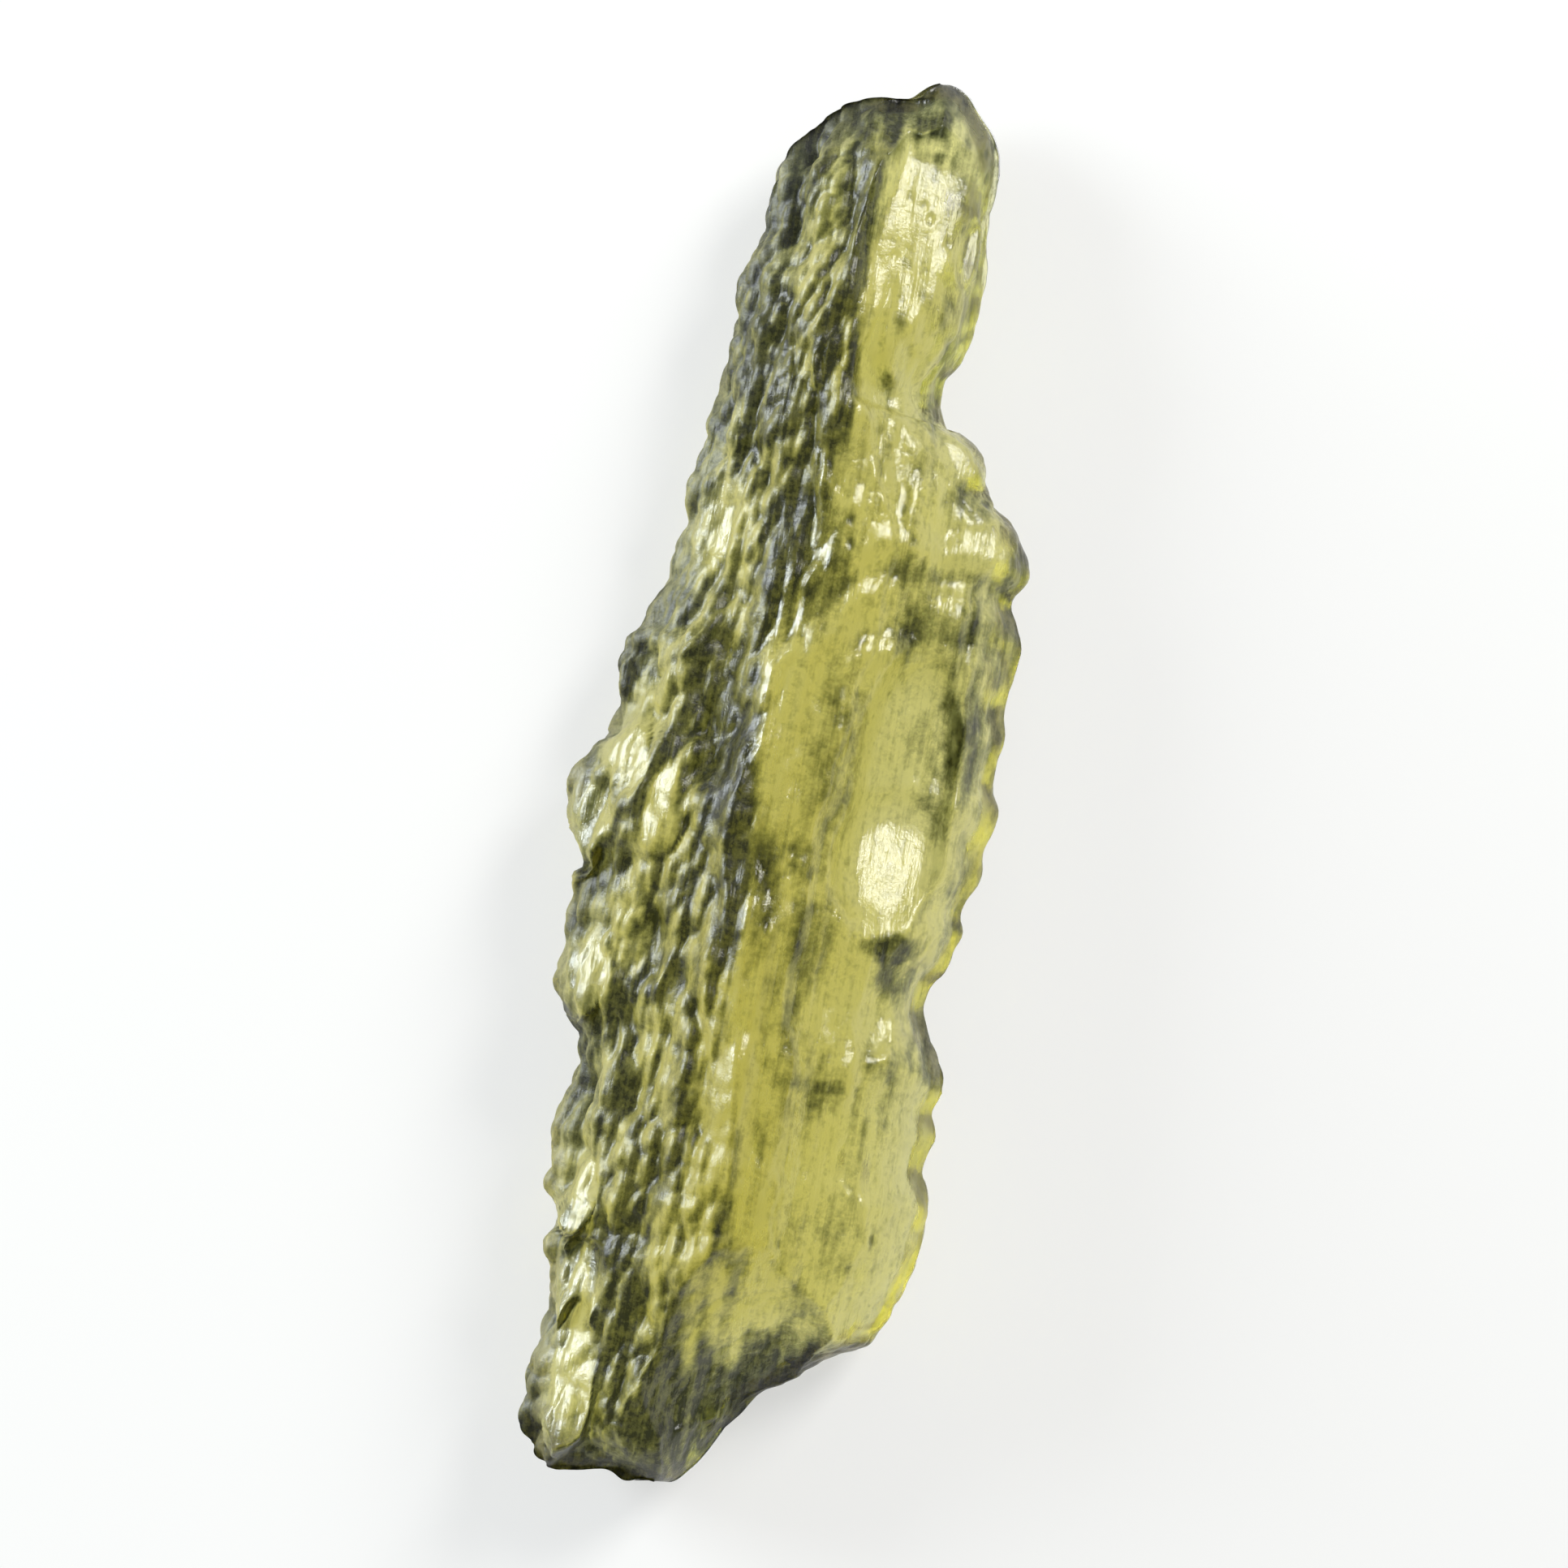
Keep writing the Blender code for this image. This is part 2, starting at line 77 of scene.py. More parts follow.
# Dents are painted shade in pits and ripple grooves; flat places are lighter as a painted highlight
PLAIN, PAINTED_DENT_SHADE, STREAKED, MOTTLED_FINELY, CLOUDED, FLUTED, FLAT_PAINTED_HIGHLIGHT = -0.32, 0.45, 0.40, 0.55, 0.22, 0.55, -0.32
SIDE_SHARE = 0.80  # of its shade that the smooth side keeps
# A ring of painted shade round the long hollow, on its arch and walls
RING = (3.75, 0.4, 1.75, 4.5, 11.0)  # round the long hollow: centre, half width, half length, lean
RING_SPREAD, RING_PAINTED_SHADE = 0.16, 0.65
DARKEST = 0.07  # least light that any place of the skin lets through
BACK_CLEARNESS = 0.96  # what the middle of the back lets through

# The outline from the lower tip to the upper tip: x across the stone, y along it
LEFT_OUTLINE = [
    (-4.00, -21.60), (-4.40, -21.50), (-4.95, -21.55), (-5.30, -21.25), (-6.25, -21.20), (-6.80, -21.10),
    (-7.30, -20.70), (-7.65, -20.10), (-7.80, -19.35), (-7.65, -18.50), (-7.20, -16.80), (-7.05, -15.80),
    (-7.10, -14.90), (-7.25, -14.25), (-6.90, -13.55), (-7.05, -13.05), (-7.20, -12.55), (-6.95, -11.75),
    (-6.75, -10.30), (-6.45, -9.20), (-6.40, -8.40), (-6.55, -7.10), (-6.80, -6.10), (-6.55, -4.80),
    (-6.30, -3.70), (-6.25, -2.70), (-6.40, -1.90), (-6.80, -0.60), (-6.60, 0.15), (-6.10, 1.00),
    (-5.90, 1.40), (-5.20, 2.00), (-5.05, 2.60), (-4.95, 3.60), (-4.75, 4.20), (-4.10, 4.85),
    (-3.65, 5.65), (-3.40, 6.10), (-3.20, 7.20), (-2.80, 8.40), (-2.70, 9.15), (-2.30, 10.35),
    (-2.20, 11.00), (-1.65, 12.30), (-1.40, 13.35), (-1.45, 13.90), (-1.30, 14.90), (-0.95, 16.00),
    (-0.55, 16.70), (-0.20, 18.00), (0.25, 19.15), (0.75, 20.10), (1.25, 20.60), (2.35, 21.15),
    (3.00, 21.25), (3.60, 21.20), (3.95, 21.22), (4.25, 21.42), (4.55, 21.60), (4.85, 21.68),
]
RIGHT_OUTLINE = [
    (-4.00, -21.60), (-3.50, -21.65), (-2.90, -21.25), (-2.20, -20.45), (-1.50, -19.65), (-0.90, -18.95),
    (-0.05, -18.60), (0.90, -18.10), (1.70, -17.70), (2.10, -17.60), (2.50, -17.45), (2.80, -17.00),
    (3.70, -15.35), (4.05, -14.60), (4.20, -13.85), (4.40, -13.20), (4.30, -12.60), (4.15, -12.10),
    (4.30, -11.50), (4.50, -11.10), (4.50, -10.10), (4.75, -9.65), (4.85, -9.15), (4.60, -7.90),
    (4.45, -6.80), (4.55, -6.30), (4.95, -5.85), (5.25, -5.20), (5.45, -4.60), (5.40, -4.15),
    (5.90, -3.05), (6.05, -2.00), (6.30, -1.45), (6.50, -0.85), (6.35, -0.10), (6.55, 0.65),
    (6.80, 1.15), (6.90, 2.35), (7.20, 3.10), (7.40, 4.45), (7.25, 5.50), (7.70, 6.35),
    (7.70, 7.00), (7.40, 7.70), (6.45, 8.75), (6.15, 9.35), (5.90, 10.15), (5.25, 10.95),
    (4.80, 11.05), (4.68, 11.45), (4.70, 12.10), (4.90, 12.70), (5.20, 13.00), (5.45, 13.40),
    (5.85, 14.50), (6.30, 15.80), (6.55, 17.70), (6.75, 19.30), (6.65, 19.80), (6.00, 20.90),
    (5.75, 21.30), (5.45, 21.55), (5.15, 21.67), (4.85, 21.68),
]
CREST_LINE = [
    (-3.80, -20.85), (-2.90, -17.85), (-2.00, -14.85), (-1.65, -12.10), (-1.50, -9.10), (-1.30, -5.85),
    (-0.90, -2.85), (-0.70, 0.40), (-0.55, 3.65), (0.00, 6.15), (0.85, 8.65), (1.50, 11.15),
    (2.00, 13.65), (2.40, 16.65), (3.05, 19.65),
]

# Heights of the blank, before it is sculpted
LEFT_LEVEL, RIGHT_LEVEL = 1.8, 1.0  # of the outline above the floor
FACE_PROFILE = [  # place across the stone and height there
    (0.00, 2.80), (0.08, 3.70), (0.16, 4.35), (0.26, 5.05), (0.36, 5.75), (0.44, 6.20), (0.52, 6.10),
    (0.62, 5.50), (0.72, 4.85), (0.82, 4.15), (0.92, 3.35), (1.00, 2.20),
]
CREST_RISE, CREST_SHARPNESS = 0.22, 0.60  # of the sharp line along the crest
CREST_WANDER = 0.45  # how far the border between the rough flank and the smooth side strays
UPPER_SLIMMING, LOWER_SLIMMING, CROWN_DROP = 0.34, 0.56, 0.12  # shares of the height lost there
LEFT_EDGE_ROUND, RIGHT_EDGE_ROUND = 2.10, 0.90
BACK_BELLY, BACK_TRIM, BACK_EDGE_ROUND = 0.90, 0.45, 1.30
END_LIFT = 1.30

# Etching: width and length of its cells, and how deep it goes
WAVES = (3.2, 6.5, 0.32)
BIG_PITS, MIDDLE_PITS, SMALL_PITS = (1.5, 3.4, 0.74), (0.85, 1.8, 0.46), (0.48, 0.85, 0.36)
FLUTES, FINE_FLUTES = (0.62, 9.0, 0.14), (0.26, 5.0, 0.05)
CROWN_PITS, SHOULDER_DOTS, SHOULDER_RIPPLE = 0.28, 0.07, 0.12
RIGHT_CALM, BACK_CALM, FLAT_CALM = 0.72, 0.45, 0.60  # share of the pits that is missing there
LOWER_REACH, UPPER_REACH = 2.6, 4.5  # how far from each tip the etching is weaker
SHELL_CENTRE = (4.1, 0.9)  # of the ripples on the shoulder

# Broken faces that cut down to the outline: which outline, from and to which y, steepness, height at the
# edge above the outline's level, how much darker the skin is (or lighter, if negative)
BREAKS = [
    (RIGHT_OUTLINE, 20.2, 22.0, 1.1, 0.0, 0.20),  # crown, right of the upper tip
    (LEFT_OUTLINE, 20.4, 22.0, 1.1, 0.0, 0.34),  # and left of it
    (RIGHT_OUTLINE, -19.8, -18.4, 0.95, 0.1, 0.10),  # oblique break at the lower end
    (RIGHT_OUTLINE, -9.4, 5.6, 1.70, 0.0, 0.45),  # rim facet along the right edge
    (RIGHT_OUTLINE, -16.9, -9.6, 1.30, 0.1, -0.15),
    (RIGHT_OUTLINE, 7.6, 10.9, 0.56, 1.9, -0.10),  # shoulder facet under the notch
]

# Hollows in the face: centre x and y, half width, half length, lean in degrees, depth
HOLLOWS = [
    (3.70, 0.10, 2.10, 5.10, 11.0, 0.55),  # round the long hollow
    (5.10, 7.55, 1.70, 1.25, 70.0, 0.45),  # shell-like scar on the right shoulder
    (3.60, 5.20, 1.00, 2.20, 78.0, 0.28),  # the ripple below it
    (1.10, -12.85, 2.00, 4.40, 4.0, 0.55),  # smooth panel of the lower right
    (3.55, -10.85, 0.85, 1.90, 12.0, 0.50),  # flake scar beside it
    (3.05, -7.35, 1.05, 1.30, 0.0, 0.45),
    (4.10, 16.50, 1.50, 3.60, 7.0, 0.25),  # smooth panel of the upper end
    (3.60, 16.70, 1.20, 0.80, 80.0, 0.10),
    (3.60, 14.90, 1.20, 0.80, 80.0, 0.10),
    (6.00, 16.30, 0.50, 1.00, 20.0, 0.45),  # chips in the upper right edge
    (6.15, 18.10, 0.40, 0.80, 5.0, 0.25),
    (4.65, 19.80, 0.55, 0.45, 0.0, 0.30),
    (0.70, 8.40, 0.70, 2.20, 5.0, 0.35),
    (-1.90, 2.00, 0.95, 3.20, 8.0, 0.50),  # dark trough left of the crest
    (-4.30, -4.90, 1.10, 1.60, 25.0, 0.60),
    (-4.20, 3.60, 0.90, 0.80, 30.0, 0.50),
    (-1.60, 8.80, 0.50, 1.60, 12.0, 0.25),
    (-3.30, -6.10, 0.50, 1.30, 20.0, 0.30),
    (-1.50, -19.20, 1.30, 2.80, 57.0, 0.35),  # dished break at the lower end
]
# Flat places that catch a light: centre x and y, half width, half length, lean in degrees, slopes along x
# and y, how ragged their border is
FACET_RAGGEDNESS = 0.45
FACETS = [
    (3.20, -2.50, 2.00, 2.60, 8.0, -0.40, -0.40, 0.0),  # foot of the long hollow
    (4.10, 16.80, 2.10, 5.00, 8.0, -0.31, -0.29, 0.5),  # upper panel
    (6.10, 7.20, 0.90, 1.50, 70.0, -0.42, -0.40, 0.6),  # shoulder
    (5.35, 10.00, 0.50, 1.40, -38.0, -0.42, -0.39, 0.5),
    (5.75, 16.30, 0.45, 1.30, 14.0, -0.42, -0.39, 0.8),  # chips in the upper right edge
    (-4.90, 0.90, 1.00, 2.00, 25.0, 0.68, -0.34, 1.0),  # humps along the left edge
    (-5.85, -1.20, 0.80, 2.00, 5.0, 0.68, -0.34, 1.0),
    (-6.05, -5.80, 0.80, 1.70, 5.0, 0.68, -0.34, 1.0),
    (-6.35, -12.50, 0.80, 1.60, 5.0, 0.68, -0.34, 1.5),
    (-6.15, -15.60, 0.80, 1.80, 8.0, 0.68, -0.34, 1.0),
    (-6.45, -18.40, 0.75, 2.80, 8.0, 0.64, -0.31, 1.8),
    (-2.00, 7.90, 0.70, 1.80, 12.0, 0.68, -0.34, 1.0),
    (-3.60, -0.60, 0.80, 2.00, 14.0, 0.62, -0.30, 1.0),
]
BASIN = (3.65, 0.20, 1.75, 4.40, 11.0, 0.80)  # the long hollow itself, with steep walls and a flat floor
# Knobs that stand out of the left flank, in the same terms
KNOBS = [
    (-1.50, 10.60, 0.45, 0.60, 10.0, 0.40),
    (-2.60, 4.60, 0.45, 1.20, 40.0, 0.35),
    (-5.00, 0.90, 0.60, 1.10, 15.0, 0.40),
    (-5.90, -1.20, 0.50, 1.10, 5.0, 0.30),
    (-6.10, -5.90, 0.50, 0.90, 5.0, 0.35),
    (-6.40, -12.40, 0.45, 0.80, 5.0, 0.40),
    (-6.20, -15.60, 0.50, 1.00, 10.0, 0.30),
    (-6.60, -18.40, 0.60, 1.60, 8.0, 0.30),
]


# Where the skin lets less light through, or more, if negative: some rows are marks of the glass, and many
# are painted shade and painted highlights. Centre x and y, half width, half length, lean in degrees, amount
MARKS_AND_PAINTED_LIGHT = [
    (1.6, 17.2, 1.0, 2.4, 9.0, -0.45),  # left of the upper panel
    (3.6, 16.0, 0.9, 0.25, 8.0, 0.45),  # crescents
    (3.4, 14.2, 0.9, 0.2, -4.0, 0.3),
    (1.2, 13.5, 0.8, 0.9, 0.0, 0.3),
    (0.5, 7.2, 1.3, 2.4, 6.0, 0.5),  # streaks above the trough
    # Painted shade over the hollow's arch and on its wall
    (5.4, 4.7, 0.7, 1.1, 70.0, 0.35),  # over the hollow
    (5.3, 2.0, 0.8, 2.6, 14.0, 0.45),  # shaded wall of the hollow
    # Painted shade in the trough left of the crest
    (-1.75, 1.6, 1.0, 3.6, 6.0, 0.75),  # dark trough left of the crest
    (-1.7, -3.4, 0.7, 2.6, 3.0, 0.4),
    (-2.0, -11.5, 1.1, 7.0, 6.0, -0.8),  # olive streaks left of the crest
    (-0.5, 12.6, 1.0, 3.4, 9.0, 0.45),
    (-5.5, -3.0, 0.8, 0.7, 0.0, 0.4),
    (-3.7, -5.9, 0.8, 0.9, 18.0, 0.4),
    # Painted light on lit lumps of the flank
    (-4.7, -4.4, 0.9, 1.6, 10.0, -0.5),
    (-4.4, -11.0, 1.4, 2.8, 8.0, 0.25),
    (3.25, -5.05, 1.2, 0.5, 4.0, 1.5),  # rough band under the bright spot
    (3.5, -5.8, 1.1, 0.7, 0.0, 0.6),
    (3.0, -8.8, 0.9, 0.4, 25.0, 0.5),  # crescent over the flake scar
    (0.9, -9.2, 1.5, 0.3, 8.0, 0.4),
    (3.2, -10.9, 0.75, 1.7, 5.0, 0.22),  # the flake scar and its left border
    (2.45, -11.0, 0.16, 1.8, 4.0, 0.3),
    (2.9, -14.6, 0.16, 1.9, 10.0, 0.22),  # border of the pale edge
    (4.1, -11.6, 0.35, 2.2, -2.0, -0.3),
    (-1.3, -12.8, 0.5, 2.2, 6.0, -0.6),  # softens the crest low down and high up
    (1.8, 13.0, 0.5, 2.6, 6.0, -0.4),
    (-1.4, -18.7, 1.7, 2.9, 60.0, 1.1),  # dark slope of the lower break
    (-1.4, -18.9, 1.1, 2.2, 60.0, 1.1),
    (-2.6, -20.3, 1.6, 2.2, 40.0, 0.9),
    (-5.4, -20.5, 1.7, 0.8, 0.0, -0.45),
    (-2.6, -15.8, 0.9, 2.0, 15.0, -0.6),
    (-5.6, -14.1, 0.9, 1.3, 80.0, 0.4),
    # Painted highlights on the bright spot, the upper panel and the shoulder
    (3.2, -2.7, 1.2, 1.6, 8.0, -0.6),  # bright spot
    (4.2, 17.3, 1.2, 2.8, 8.0, -0.3),  # upper panel
    (5.6, 7.4, 1.7, 1.0, 0.0, -0.4),  # shoulder
    (5.4, 9.0, 0.7, 0.7, -30.0, 0.4),
    # Painted shade framing the upper panel's highlight
    (2.3, 17.6, 0.35, 2.6, 9.0, 0.4),  # borders of the upper panel
    (5.5, 18.0, 0.35, 2.0, 5.0, 0.25),
    (3.3, 20.3, 1.6, 0.55, 0.0, 0.35),  # pitted band under the crown's edge
    (4.45, 17.3, 0.65, 0.08, 4.0, 0.9),  # thin crack in the upper panel
    (4.35, 15.1, 0.2, 0.8, 3.0, 0.5),
    (4.6, 19.75, 0.5, 0.3, 0.0, -0.6),  # pale chip under the crown
    (4.9, 19.3, 0.4, 0.2, 0.0, 0.4),
    (2.0, -16.3, 0.2, 0.7, 15.0, -0.7),  # bright sliver at the lower end
    # Painted light on the hollow's floor and round the bright spot
    (3.1, 1.6, 1.0, 1.8, 6.0, -0.25),  # hollow's floor
    (3.2, -0.7, 1.2, 1.6, 8.0, -0.30),
    (-0.2, 2.9, 0.5, 2.8, 0.0, -0.3),  # just right of the crest
    (0.2, -0.8, 0.6, 3.5, 3.0, -0.3),
    (-3.6, -1.2, 1.0, 2.6, 14.0, -0.5),  # left flank
    (-4.6, -8.2, 0.9, 1.8, 10.0, -0.3),
    (-4.2, 2.2, 0.8, 2.6, 42.0, -0.4),
    # Painted highlights on the humps along the left edge
    (-6.3, -1.0, 0.6, 2.0, 0.0, -0.2),  # humps along the left edge
    (-6.4, -5.6, 0.6, 1.0, 0.0, -0.2),
    (-6.6, -12.4, 0.6, 1.0, 0.0, -0.2),
    (-6.6, -17.2, 0.7, 3.0, 8.0, -0.2),
    (0.7, -13.2, 1.4, 3.0, 0.0, -0.3),  # lower panel
    (3.4, -14.6, 0.7, 2.4, 15.0, -0.3),  # pale edge
]


def smooth_curve(points, share):
    """Points at given shares of the length of a curve through the listed points: between two of them a
    cubic, whose slope at each end is that of the line joining the two neighbours."""
    points = np.array(points, float)
    step = np.linalg.norm(np.diff(points, axis=0), axis=1)
    length = np.concatenate([[0.0], np.cumsum(step)])
    slope = np.gradient(points, length, axis=0)
    at = np.clip(np.asarray(share, float), 0.0, 1.0) * length[-1]
    k = np.clip(np.searchsorted(length, at, side="right") - 1, 0, len(step) - 1)
    f = ((at - length[k]) / step[k])[..., None]
    span = step[k][..., None]
    return (
        (2 * f**3 - 3 * f**2 + 1) * points[k]
        + (f**3 - 2 * f**2 + f) * span * slope[k]
        + (3 * f**2 - 2 * f**3) * points[k + 1]
        + (f**3 - f**2) * span * slope[k + 1]
    )


def cell_number(cell, pick):
    """A number from 0 to 1 that looks random but is always the same for a whole-number cell."""
    factors = np.array([374761393, 668265263, 1442695041], np.int64)
    n = (cell.astype(np.int64) * factors).sum(axis=-1) + pick * 1274126177
    n = (n ^ (n >> 13)) & 0xFFFFFFFF
    n = (n * 1103515245 + 12345) & 0xFFFFFFFF
    n = ((n ^ (n >> 15)) * 668265263) & 0xFFFFFFFF
    return ((n ^ (n >> 16)) & 0xFFFFFF) / float(0x1000000)


def cells(a, b, width, length, c=0.0, height=1.0):
    """Places measured in cells of a given width along a, length along b and height along c."""
    return np.stack(np.broadcast_arrays(a / width, b / length, c / height), axis=-1)


def bowls(place, pick):
    """Squared distance to the nearest of a scatter of points, one in each unit cell: low in the middle
    of each bowl and highest on the sharp rim between two."""
    cell = np.floor(place)
    nearest = np.full(place.shape[:-1], 9.0)
    for dx in (-1, 0, 1):
        for dy in (-1, 0, 1):
            for dz in (-1, 0, 1):
                near = cell + np.array([dx, dy, dz])
                spot = np.stack([cell_number(near, pick + k) for k in range(3)], axis=-1)
                away = near + 0.15 + 0.7 * spot - place
                nearest = np.minimum(nearest, (away**2).sum(axis=-1))
    return nearest


def swells(place, pick):
    """Smooth hills and dips from -1 to 1: the cell numbers at the eight corners of a unit cell, blended
    by an s-shaped weight."""
    cell = np.floor(place)
    f = place - cell
    f = f * f * (3 - 2 * f)
    total = np.zeros(place.shape[:-1])
    for dx in (0, 1):
        for dy in (0, 1):
            for dz in (0, 1):
                weight = np.ones(place.shape[:-1])
                for axis, d in enumerate((dx, dy, dz)):
                    weight = weight * (f[..., axis] if d else 1 - f[..., axis])
                total += weight * cell_number(cell + np.array([dx, dy, dz]), pick)
    return 2 * total - 1


def turned(x, y, degrees):
    """x and y as seen from axes that lean to the right of +Y by the given angle."""
    a = math.radians(degrees)
    return x * math.cos(a) - y * math.sin(a), x * math.sin(a) + y * math.cos(a)


def smooth_step(value, low, high):
    """0 below low, 1 above high, and an s-shaped climb between."""
    f = np.clip((value - low) / (high - low), 0, 1)
    return f * f * (3 - 2 * f)


def line_distance(x, y, line):
    """Distance from each place to the nearest straight piece of a line."""
    nearest = np.full(x.shape, 1e9)
    for (ax, ay), (bx, by) in zip(line[:-1], line[1:]):
        dx, dy = bx - ax, by - ay
        f = np.clip(((x - ax) * dx + (y - ay) * dy) / (dx * dx + dy * dy + 1e-12), 0, 1)
        nearest = np.minimum(nearest, (x - ax - f * dx) ** 2 + (y - ay - f * dy) ** 2)
    return np.sqrt(nearest)


def patches(x, y, rows, power=1.5):
    """All rows of a list of patches added up, such as hollows, knobs or shades. Each is its size times 1
    less the squared distance from its centre, measured in its own half width and half length, raised to
    the given power."""
    total = 0 * x
    for centre_x, centre_y, half_width, half_length, lean, size in rows:
        a, b = turned(x - centre_x, y - centre_y, lean)
        inside = np.clip(1 - (a / half_width) ** 2 - (b / half_length) ** 2, 0, 1)
        total += size * inside**power
    return total


def grid():
    """Places on the plan. Each row lies on the straight line between two points at the same share of the
    two outlines; its columns stand closer together near the outline. Returns the plan, the share along
    the stone, the place across it and which columns are on the face."""
    even = (np.arange(ROWS) + 0.5) / ROWS
    share = (even - 0.45 * np.sin(2 * math.pi * even) / (2 * math.pi))[:, None]
    face = np.arange(FACE_COLUMNS) / FACE_COLUMNS
    back = 1 - np.arange(BACK_COLUMNS) / BACK_COLUMNS
    even_across = np.concatenate([face, back])[None, :]
    across = 0.3 * even_across + 0.7 * (1 - np.cos(math.pi * even_across)) / 2 + 0 * share
    on_face = np.concatenate([face >= 0, back < 0])[None, :]
    left = smooth_curve(LEFT_OUTLINE, share)
    right = smooth_curve(RIGHT_OUTLINE, share)
    return left + (right - left) * across[..., None], share, across, on_face


def blank(plan, share, across, on_face):
    """Heights of the stone before it is etched. The face climbs from the outline as a quarter circle to the
    profile, with a sharp line along the crest, plus the knobs and less the hollows. The long hollow has
    steep walls and a flat floor. A flat place blends the face into a plane through its middle, by a weight
    with a ragged border. A break is a slope that cuts the face down to the outline. The back falls from
    the outline as a quarter circle. Also returns the distance to the right of the crest, made uneven, the
    distance inside the outline, how much darker broken faces are, and how flat each place is."""
    x, y = plan[..., 0], plan[..., 1]
    lift = END_LIFT * np.abs(2 * share - 0.95) ** 3
    level = LEFT_LEVEL + (RIGHT_LEVEL - LEFT_LEVEL) * across + 0.35 * lift
    shares = np.linspace(0, 1, 260)
    left, right = smooth_curve(LEFT_OUTLINE, shares), smooth_curve(RIGHT_OUTLINE, shares)
    inside = np.minimum(line_distance(x, y, left), line_distance(x, y, right))

    crown = smooth_step(share, 0.93, 0.99)
    breadth = LEFT_EDGE_ROUND + (RIGHT_EDGE_ROUND - LEFT_EDGE_ROUND) * across
    breadth = breadth * (1 - 0.6 * crown)
    rise = np.sqrt(1 - (1 - np.clip(inside / breadth, 0, 1)) ** 2)
    profile = smooth_curve(FACE_PROFILE, np.linspace(0, 1, 300))
    along = 1.0 - UPPER_SLIMMING * np.clip(1.7 * share - 0.7, 0, 1)
    along = along - LOWER_SLIMMING * np.clip(1 - 4 * share, 0, 1) ** 1.4
    along = along - CROWN_DROP * smooth_step(share, 0.86, 1.0)
    full = np.interp(across, profile[:, 0], profile[:, 1]) * along
    line = smooth_curve(CREST_LINE, np.linspace(0, 1, 200))
    beside_crest = x - np.interp(y, line[:, 1], line[:, 0])
    inner = np.clip(inside / 0.6, 0, 1)
    face = level + (full - level) * rise
    face += CREST_RISE * np.exp(-np.abs(beside_crest) / CREST_SHARPNESS) * inner
    beside_crest = beside_crest + CREST_WANDER * swells(cells(x, y, 0.5, 3.5), 131)
    face += inner * (patches(x, y, KNOBS) - patches(x, y, HOLLOWS))
    face -= BASIN[5] * smooth_step(patches(x, y, [(*BASIN[:5], 1.0)], 1.0), 0.0, 0.62)
    flat = 0 * face
    ragged = FACET_RAGGEDNESS * swells(cells(x, y, 0.55, 1.10), 127)
    for centre_x, centre_y, half_width, half_length, lean, slope_x, slope_y, rag in FACETS:
        middle = np.argmin(np.hypot(x - centre_x, y - centre_y) + 99.0 * ~on_face)
        plane = face.ravel()[middle] + slope_x * (x - centre_x) + slope_y * (y - centre_y)
        spot = patches(x, y, [(centre_x, centre_y, half_width, half_length, lean, 1.0)], 1.0)
        weight = smooth_step(spot + rag * ragged * (spot > 0), 0.0, 0.85) * smooth_step(spot, 0.0, 0.3)
        face = face + (plane - face) * weight
        flat = np.maximum(flat, weight)
    broken = 0 * face
    for outline, low, high, steepness, start, shade in BREAKS:
        curve = left if outline is LEFT_OUTLINE else right
        part = curve[(curve[:, 1] > low) & (curve[:, 1] < high)]
        cut = level + start + steepness * line_distance(x, y, part)
        deep = smooth_step(face - cut, -0.05, 0.25)
        broken = broken + (shade - broken) * deep
        flat = np.maximum(flat, 0.8 * deep)
        face = np.minimum(face, cut)

    lowest = 0.9 * lift - BACK_TRIM + BACK_BELLY * np.abs(2 * across - 0.9) ** 2.5
    fall = np.sqrt(1 - (1 - np.clip(inside / BACK_EDGE_ROUND, 0, 1)) ** 2)
    back = level + (lowest - level) * fall
    height = np.where(on_face, face, back)
    return np.concatenate([plan, height[..., None]], axis=-1), beside_crest, inside, broken, flat * on_face


def outward(points, across):
    """Unit directions away from the middle of each row: sideways by the place across the stone, and up or
    down by the height above that middle."""
    left = points[:, :1]
    right = points[:, FACE_COLUMNS:FACE_COLUMNS + 1]
    gap = (right - left)[..., :2]
    sideways = gap / np.maximum(np.linalg.norm(gap, axis=-1, keepdims=True), 1e-6)
    up = (points[..., 2] - (left[..., 2] + right[..., 2]) / 2) / 2.2
    direction = np.concatenate([sideways * (2 * across - 1)[..., None], up[..., None]], axis=-1)
    return direction / np.maximum(np.linalg.norm(direction, axis=-1, keepdims=True), 1e-9)


